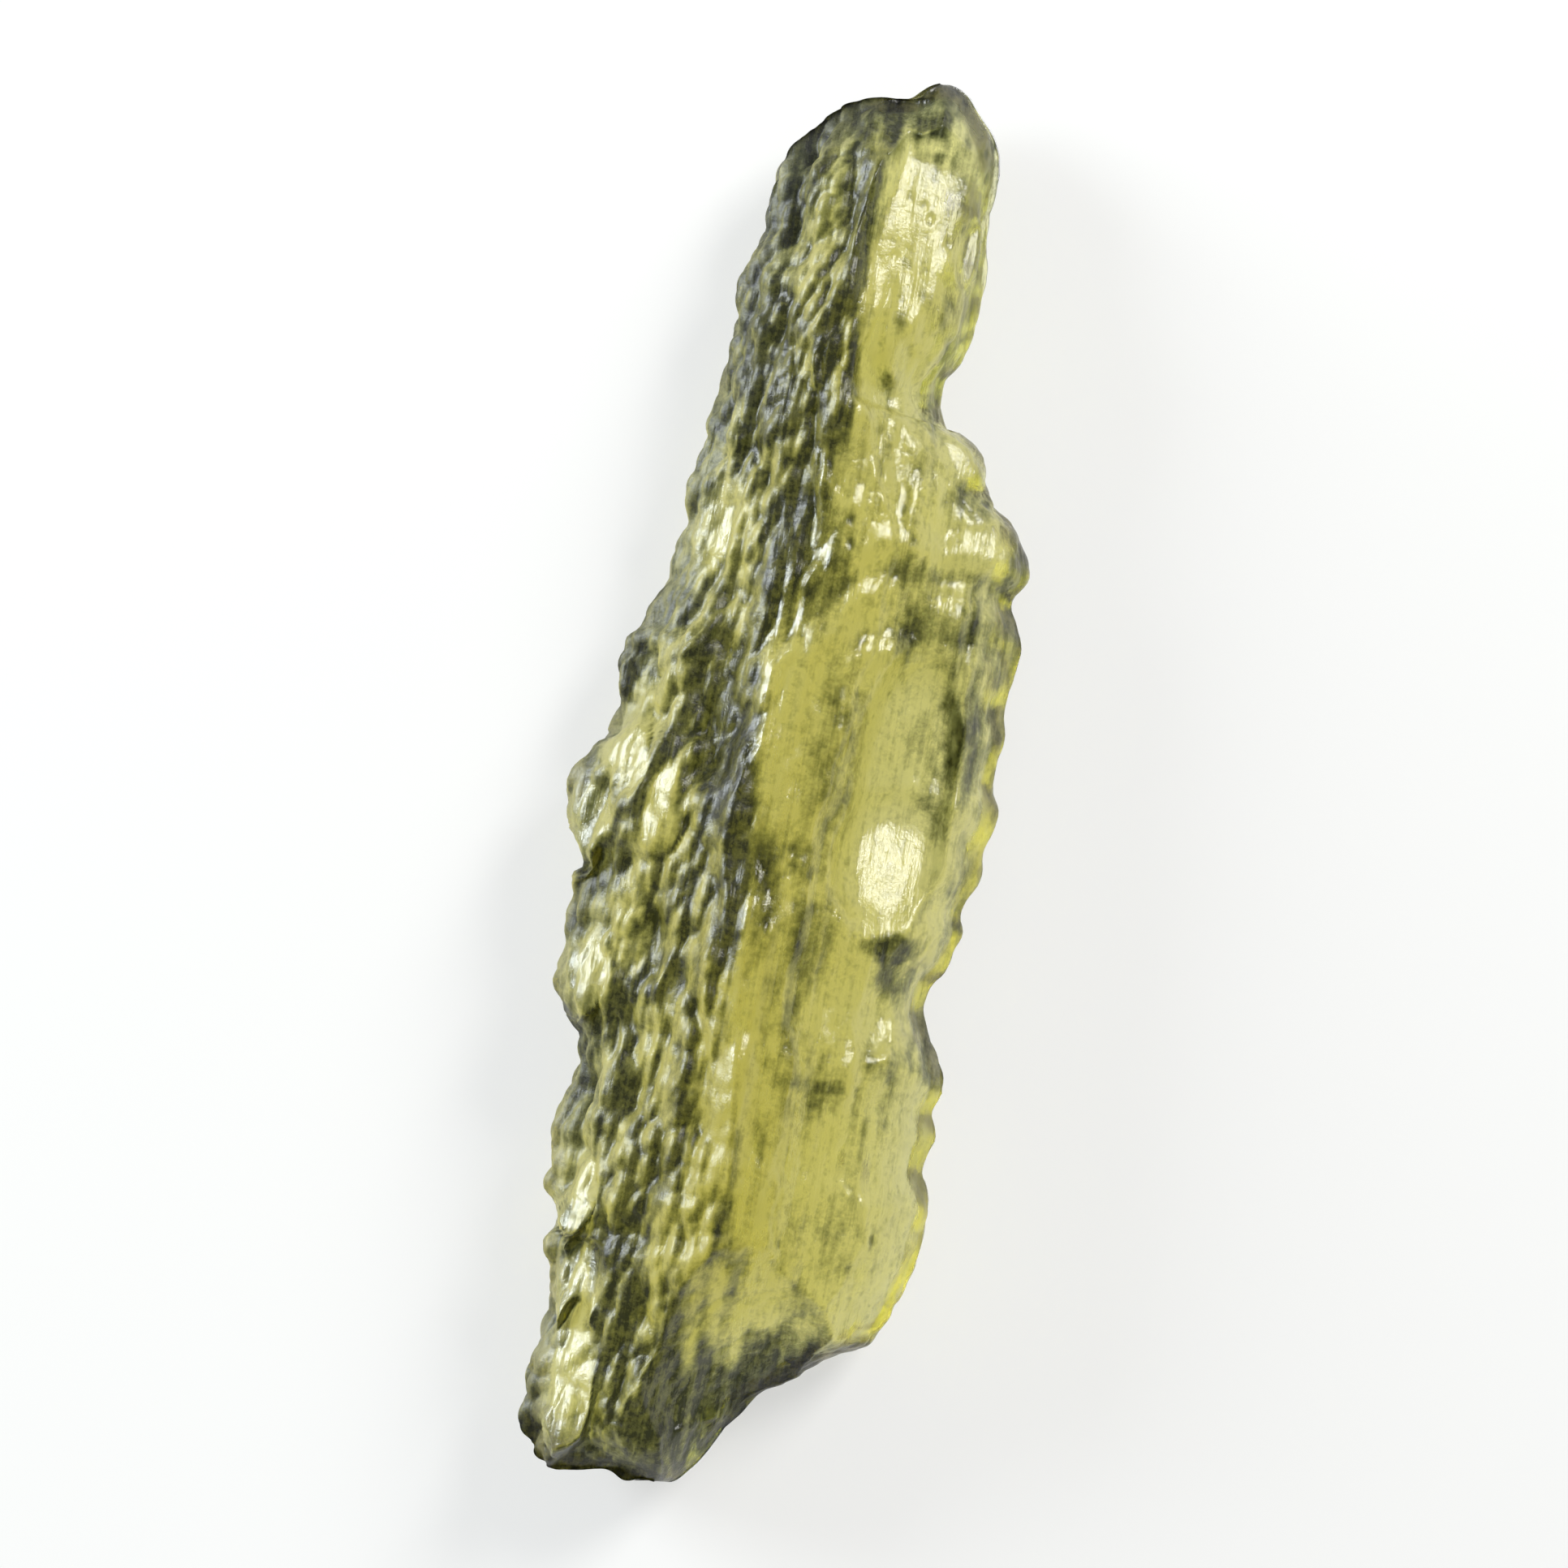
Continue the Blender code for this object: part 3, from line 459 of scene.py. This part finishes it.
def etched(points, share, across, beside_crest, inside, flat):
    """The blank with what etching leaves on it, moved along the outward directions: broad waves, pits of
    three sizes drawn out along the stone, flutes, pits in the crown, and dots and ripples on the shoulder.
    The pits are weaker on the right side, though less so at its rim, on the back and on flat places, and
    all of it fades out at the two tips. Also returns how far each place lies in a groove, and how dented
    it is."""
    normal = outward(points, across)
    x, y, z = points[..., 0], points[..., 1], points[..., 2]
    on_back = np.clip(-2 * normal[..., 2], 0, 1)
    right_side = 1 / (1 + np.exp(-beside_crest / 0.50)) * (1 - on_back)
    rim = smooth_step(-inside, -1.0, -0.2)
    calm = (1 - RIGHT_CALM * right_side * (1 - 0.5 * rim) - BACK_CALM * on_back) * (1 - FLAT_CALM * flat)

    a, b = turned(x, y, 12.0)
    c, d = turned(x, y, 18.0)
    relief = WAVES[2] * swells(cells(a, b, *WAVES[:2], z, WAVES[0]), 5)
    big = bowls(cells(a, b, *BIG_PITS[:2], z, BIG_PITS[0]), 11) - 0.35
    middle = bowls(cells(c, d, *MIDDLE_PITS[:2], z, MIDDLE_PITS[0]), 23) - 0.35
    small = bowls(cells(c, d, *SMALL_PITS[:2], z, SMALL_PITS[0]), 61) - 0.35
    relief -= (BIG_PITS[2] * big + MIDDLE_PITS[2] * middle + SMALL_PITS[2] * small) * calm
    relief += FLUTES[2] * swells(cells(a, b, *FLUTES[:2], z, 3.0), 37) * (1 - 0.9 * flat)
    fluting = FINE_FLUTES[2] * swells(cells(a, b, *FINE_FLUTES[:2], z), 41)
    relief += fluting * (1 - 0.4 * on_back) * (1 - 0.85 * flat)

    crown = smooth_step(share, 0.95, 0.975) * smooth_step(1.9 - inside, 0.0, 0.4)
    pits = bowls(cells(x, y, 0.55, 0.55, z, 0.55), 71)
    relief += crown * CROWN_PITS * (pits - 0.4)
    dots = smooth_step(-bowls(cells(x, y, 0.60, 0.80, z, 0.60), 101), -0.10, -0.02)
    dots *= smooth_step(swells(cells(x, y, 1.6, 2.4, z, 1.6), 103), -0.1, 0.5)
    relief -= SHOULDER_DOTS * dots * right_side
    far = np.hypot(x - SHELL_CENTRE[0], y - SHELL_CENTRE[1])
    shell = smooth_step(far, 2.4, 3.2) * smooth_step(7.2 - far, 0, 1.2)
    shell *= smooth_step(y, 3.0, 4.5) * right_side
    ripple = shell * np.cos(2 * math.pi * (far - 3.75) / 1.9 + 0.6 * np.sin(x * 1.7))
    relief -= SHOULDER_RIPPLE * ripple

    tips = [(*LEFT_OUTLINE[0], LOWER_REACH), (*LEFT_OUTLINE[-1], UPPER_REACH)]
    near = [np.hypot(x - tip_x, y - tip_y) / reach for tip_x, tip_y, reach in tips]
    ends = np.clip(np.minimum(*near), 0, 1) ** 2
    thin_edge = 1 - 0.3 * np.clip((across - 0.9) / 0.1, 0, 1)
    points = points + normal * (relief * ends * thin_edge)[..., None]
    points[..., 2] = np.maximum(points[..., 2], 0)
    groove = 0.25 * smooth_step(big, -0.1, 0.45) + 0.35 * smooth_step(middle, -0.10, 0.30)
    groove += 0.40 * smooth_step(small, -0.10, 0.30)
    dents = dots + 0.9 * np.clip(ripple, 0, 1) ** 2
    return points, groove, dents * right_side + crown * smooth_step(-pits, -0.16, -0.04)


def facing(points, toward_x, toward_y):
    """How far each place faces a direction in the plan, from its grid normal, which is the cross product
    of the steps to the next column and the next row."""
    along, across = np.gradient(points, axis=(0, 1))
    normal = np.cross(across, along)
    normal /= np.maximum(np.linalg.norm(normal, axis=-1, keepdims=True), 1e-12)
    return toward_x * normal[..., 0] + toward_y * normal[..., 1]


def skin_tint_with_painted_light(points, beside_crest, groove, dents, broken, painted_wall_shade, away, flat):
    """How much light the skin lets through, which carries painted light and shade: 1 less a shade, and
    never less than the darkest value. On the rough left flank the shade is a painted shade of the steep
    side that grows with mottling, painted shade in grooves and on the sides of lumps that face right, and
    on the right side with painted shade in grooves and on walls that face down the picture, and mottling.
    To these are added painted shade in dents, long streaks, fine mottling, broad clouds, the shade of
    broken faces, flutes beside the crest, a ring of painted shade round the long hollow, and the listed
    marks, painted shades and painted highlights, with borders broken up by the mottling. Flat places are
    lighter, as a painted highlight, and the whole is a fifth weaker on the right side."""
    x, y = points[..., 0], points[..., 1]
    c, d = turned(x, y, 14.0)
    flank = smooth_step(-beside_crest, -0.85, 0.50)
    mottle = 0.5 + 0.5 * swells(cells(c, d, 0.9, 2.2), 83)
    fine = 0.5 + 0.5 * swells(cells(c, d, 0.25, 0.60), 89)
    streak = 0.5 + 0.5 * swells(cells(turned(x, y, 6.0)[0], y, 0.35, 7.0), 97)
    cloud = swells(cells(c, d, 1.8, 3.2), 113)
    flute = 0.5 + 0.5 * swells(cells(turned(x, y, 5.0)[0], y, 0.45, 5.0), 107)
    fluted = smooth_step(-np.abs(beside_crest - 1.3), -1.5, -0.6)
    shade = flank * (FLANK_PAINTED_SHADE + FLANK_MOTTLE * mottle + FLANK_PAINTED_GROOVE_SHADE * groove + FLANK_PAINTED_SHADE_FACING_RIGHT * away)
    side = SIDE_PAINTED_GROOVE_SHADE * groove + SIDE_PAINTED_WALL_SHADE * painted_wall_shade + SIDE_MOTTLE * mottle + SIDE_PLAIN
    shade += (1 - flank) * side + PAINTED_DENT_SHADE * dents
    shade += STREAKED * streak + MOTTLED_FINELY * fine + CLOUDED * cloud + PLAIN
    shade += broken * (0.85 + 0.3 * fine) + FLUTED * fluted * (flute - 0.4) + FLAT_PAINTED_HIGHLIGHT * flat
    centre_x, centre_y, half_width, half_length, lean = RING
    a, b = turned(x - centre_x, y - centre_y, lean)
    ring = np.exp(-((np.hypot(a / half_width, b / half_length) - 1) / RING_SPREAD) ** 2)
    ring *= smooth_step(y + 0.8 * a, -1.0, 3.0)
    shade += RING_PAINTED_SHADE * ring * (0.3 + mottle) * (1 - flank)
    shade += patches(x, y, MARKS_AND_PAINTED_LIGHT, 0.8) * (0.70 + 0.6 * fine * (0.5 + mottle))
    shade *= SIDE_SHARE + (1 - SIDE_SHARE) * flank
    return np.clip(1 - shade, DARKEST, 1)


def closed_mesh(name, points):
    """A mesh with a quad between each four neighbours, rows closed round, and a fan at each tip."""
    rows, columns = points.shape[:2]
    vertices = np.concatenate([points.reshape(-1, 3), [points[0].mean(axis=0), points[-1].mean(axis=0)]])
    here = np.arange(rows * columns).reshape(rows, columns)
    there = np.roll(here, -1, axis=1)
    quads = np.stack([here[:-1], there[:-1], there[1:], here[1:]], axis=-1).reshape(-1, 4)
    low_tip = np.full(columns, rows * columns)
    fans = np.concatenate([
        np.stack([low_tip, there[0], here[0]], axis=-1),
        np.stack([low_tip + 1, here[-1], there[-1]], axis=-1),
    ])
    mesh = bpy.data.meshes.new(name)
    mesh.vertices.add(len(vertices))
    mesh.vertices.foreach_set("co", vertices.ravel())
    corners = np.concatenate([quads.ravel(), fans.ravel()])
    sizes = np.concatenate([np.full(len(quads), 4), np.full(len(fans), 3)])
    mesh.loops.add(len(corners))
    mesh.loops.foreach_set("vertex_index", corners)
    mesh.polygons.add(len(sizes))
    mesh.polygons.foreach_set("loop_start", np.concatenate([[0], np.cumsum(sizes)[:-1]]))
    mesh.update(calc_edges=True)
    mesh.validate()
    mesh.shade_smooth()
    return mesh


def node(tree, kind, **values):
    """A shader node with its settings, and its unlinked inputs by name."""
    new = tree.nodes.new(kind)
    for key, value in values.items():
        if key.replace("_", " ") in new.inputs:
            new.inputs[key.replace("_", " ")].default_value = value
        else:
            setattr(new, key, value)
    return new


def moved_tint(tree, before, texture, amount):
    """What came before plus a texture brought to between minus and plus an amount."""
    part = node(tree, "ShaderNodeMapRange", From_Min=0.3, From_Max=0.7, To_Min=-amount, To_Max=amount)
    tree.links.new(texture.outputs["Fac"], part.inputs["Value"])
    total = node(tree, "ShaderNodeMath", operation="ADD")
    tree.links.new(before, total.inputs[0])
    tree.links.new(part.outputs["Result"], total.inputs[1])
    return total.outputs["Value"]


def moldavite_glass():
    """Clear olive-green glass, coloured by what it absorbs over its depth. Its skin has a frosty grain and
    fine long striations, which move both its tint and its bumps. How much light each place of the skin
    lets through, which carries painted light and shade, and how frosty it is, come from the mesh."""
    material = bpy.data.materials.new("moldavite_glass")
    material.use_nodes = True
    tree = material.node_tree
    shader = tree.nodes["Principled BSDF"]
    shader.inputs["Transmission Weight"].default_value = CLARITY
    shader.inputs["IOR"].default_value = REFRACTION

    place = node(tree, "ShaderNodeTexCoord")
    stretch = node(tree, "ShaderNodeMapping", Scale=STRIATION_SCALE)
    tree.links.new(place.outputs["Object"], stretch.inputs["Vector"])
    striation = node(tree, "ShaderNodeTexNoise", Scale=1.0, Detail=2.0, Roughness=0.6)
    tree.links.new(stretch.outputs["Vector"], striation.inputs["Vector"])
    grain = node(tree, "ShaderNodeTexNoise", Scale=GRAIN_SCALE, Detail=4.0, Roughness=0.7)
    tree.links.new(place.outputs["Object"], grain.inputs["Vector"])

    tint_and_painted_light = node(tree, "ShaderNodeAttribute", attribute_name="skin_tint_with_painted_light")
    streaked = moved_tint(tree, tint_and_painted_light.outputs["Fac"], striation, STRIATION_TINT)
    speckled = moved_tint(tree, streaked, grain, GRAIN_TINT)
    tint = node(tree, "ShaderNodeValToRGB")
    tint.color_ramp.elements[0].color = TINTS[0][1]
    tint.color_ramp.elements[1].color = TINTS[-1][1]
    for share, colour in TINTS[1:-1]:
        tint.color_ramp.elements.new(share).color = colour
    tree.links.new(speckled, tint.inputs["Fac"])
    tree.links.new(tint.outputs["Color"], shader.inputs["Base Color"])
    frost = node(tree, "ShaderNodeAttribute", attribute_name="frost")
    tree.links.new(frost.outputs["Fac"], shader.inputs["Roughness"])

    first = node(tree, "ShaderNodeBump", Strength=BUMP_STRENGTH, Distance=BUMP_HEIGHT)
    tree.links.new(striation.outputs["Fac"], first.inputs["Height"])
    second = node(tree, "ShaderNodeBump", Strength=BUMP_STRENGTH, Distance=BUMP_HEIGHT)
    tree.links.new(grain.outputs["Fac"], second.inputs["Height"])
    tree.links.new(first.outputs["Normal"], second.inputs["Normal"])
    tree.links.new(second.outputs["Normal"], shader.inputs["Normal"])

    depth = node(tree, "ShaderNodeVolumeAbsorption", Color=ABSORBED_COLOUR, Density=ABSORBED_DENSITY)
    output = tree.nodes["Material Output"]
    tree.links.new(depth.outputs["Volume"], output.inputs["Volume"])
    return material


def matte(name, colour, roughness, emission=0.0):
    """A plain matte finish."""
    material = bpy.data.materials.new(name)
    material.use_nodes = True
    shader = material.node_tree.nodes["Principled BSDF"]
    shader.inputs["Base Color"].default_value = (*colour, 1)
    shader.inputs["Roughness"].default_value = roughness
    shader.inputs["Emission Color"].default_value = (*colour, 1)
    shader.inputs["Emission Strength"].default_value = emission
    return material


def keep_on_vertices(mesh, name, values, at_tips):
    """A number for each vertex under a name, with the same one for the two tips, which come last."""
    layer = mesh.attributes.new(name, "FLOAT", "POINT")
    layer.data.foreach_set("value", np.concatenate([values.ravel(), [at_tips, at_tips]]).astype(np.float32))


def make_stone():
    """The stone, turned upright and set in the middle of the model's box. The back keeps the face's tint
    along the outline and clears within 2 mm of it. The skin is frostier on the left flank, at the right
    edge and on flat places of the right side, and glossier on flat places of the left flank. Also returns
    where the middle of the picture falls."""
    plan, share, across, on_face = grid()
    points, beside_crest, inside, broken, flat = blank(plan, share, across, on_face)
    # Painted shade on walls that face down the picture
    painted_wall_shade = np.clip(facing(points, -0.7, -0.7), 0, 1)
    points, groove, dents = etched(points, share, across, beside_crest, inside, flat)
    # Painted shade on the sides of lumps that face right, away from the low left lamp
    away = facing(points, 0.86, -0.43) + 0.5
    tint_and_painted_light = skin_tint_with_painted_light(points, beside_crest, groove, dents, broken, painted_wall_shade, away, flat)
    rough_left = smooth_step(-beside_crest, -0.3, 0.3)
    gloss = flat * rough_left
    frost = PLAIN_FROST + FLANK_FROST * rough_left - FLANK_GLOSS * gloss
    frost += (EDGE_FROST * smooth_step(-inside, -1.4, -0.2) + FLAT_FROST * flat) * (1 - gloss)
    under = tint_and_painted_light + (BACK_CLEARNESS - tint_and_painted_light) * smooth_step(inside, 0.2, 1.8)
    tint_and_painted_light = np.where(on_face, tint_and_painted_light, under)
    x, y = turned(points[..., 0], points[..., 1], LEAN)
    points = np.stack([x, y, points[..., 2]], axis=-1)
    low, high = points.min(axis=(0, 1)), points.max(axis=(0, 1))
    middle = (low + high) / 2
    points -= np.array([middle[0], middle[1], low[2]])
    mesh = closed_mesh("etched_stone", points * MM)
    # The tint, with its painted shade and painted highlights, is kept on the vertices
    keep_on_vertices(mesh, "skin_tint_with_painted_light", tint_and_painted_light, 0.5)
    keep_on_vertices(mesh, "frost", frost, 0.4)
    stone = bpy.data.objects.new("etched_stone", mesh)
    bpy.context.scene.collection.objects.link(stone)
    stone.data.materials.append(moldavite_glass())
    return stone, -middle[:2] * MM


def make_floor():
    """A wide pale floor just under the stone."""
    half, top = 1.5, -0.00005
    corners = [(-half, -half, top), (half, -half, top), (half, half, top), (-half, half, top)]
    mesh = bpy.data.meshes.new("floor")
    mesh.from_pydata(corners, [], [(0, 1, 2, 3)])
    floor = bpy.data.objects.new("floor", mesh)
    bpy.context.scene.collection.objects.link(floor)
    floor.data.materials.append(matte("pale_floor", FLOOR_COLOUR, 0.8, FLOOR_GLOW))
    return floor


def soft_light(name, place, size, power, colour, target=(0, 0, 0.003)):
    """A square soft box at a place, facing the stone."""
    light = bpy.data.lights.new(name, "AREA")
    light.shape = "SQUARE"
    light.size = size
    light.energy = power
    light.color = colour
    box = bpy.data.objects.new(name, light)
    bpy.context.scene.collection.objects.link(box)
    box.location = place
    away = np.array(target) - np.array(place)
    yaw = math.atan2(away[1], away[0]) - math.pi / 2
    pitch = math.atan2(math.hypot(away[0], away[1]), -away[2])
    box.rotation_euler = (pitch, 0, yaw)
    return box


stone, picture_middle = make_stone()
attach(stone, "root")
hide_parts("tektite")
make_floor()

# A warm box high on the upper right, and a cooler one low on the left that lights only the surface
soft_light("key_box", (0.20, 0.28, 0.21), 0.15, 1.6, (1.0, 0.99, 0.96))
soft_light("left_box", (-0.34, 0.10, 0.10), 0.16, 2.1, (0.88, 0.95, 1.0)).visible_transmission = False

world = bpy.data.worlds.new("studio")
world.use_nodes = True
world.node_tree.nodes["Background"].inputs["Color"].default_value = WORLD_COLOUR
world.node_tree.nodes["Background"].inputs["Strength"].default_value = WORLD_STRENGTH
bpy.context.scene.world = world

lens = bpy.data.cameras.new("camera")
lens.sensor_width = 36.0
lens.lens = 36.0 * (CAMERA_HEIGHT - MIDDLE_HEIGHT) / (PICTURE_WIDTH * MM)
camera = bpy.data.objects.new("camera", lens)
bpy.context.scene.collection.objects.link(camera)
camera.location = (picture_middle[0], picture_middle[1], CAMERA_HEIGHT)
camera.rotation_euler = (0, 0, math.radians(LEAN))
bpy.context.scene.camera = camera
lens.clip_start = 0.01
lens.clip_end = 10.0

bpy.context.scene.view_settings.view_transform = "Standard"
bpy.context.scene.cycles.max_bounces = 20
bpy.context.scene.cycles.transmission_bounces = 20
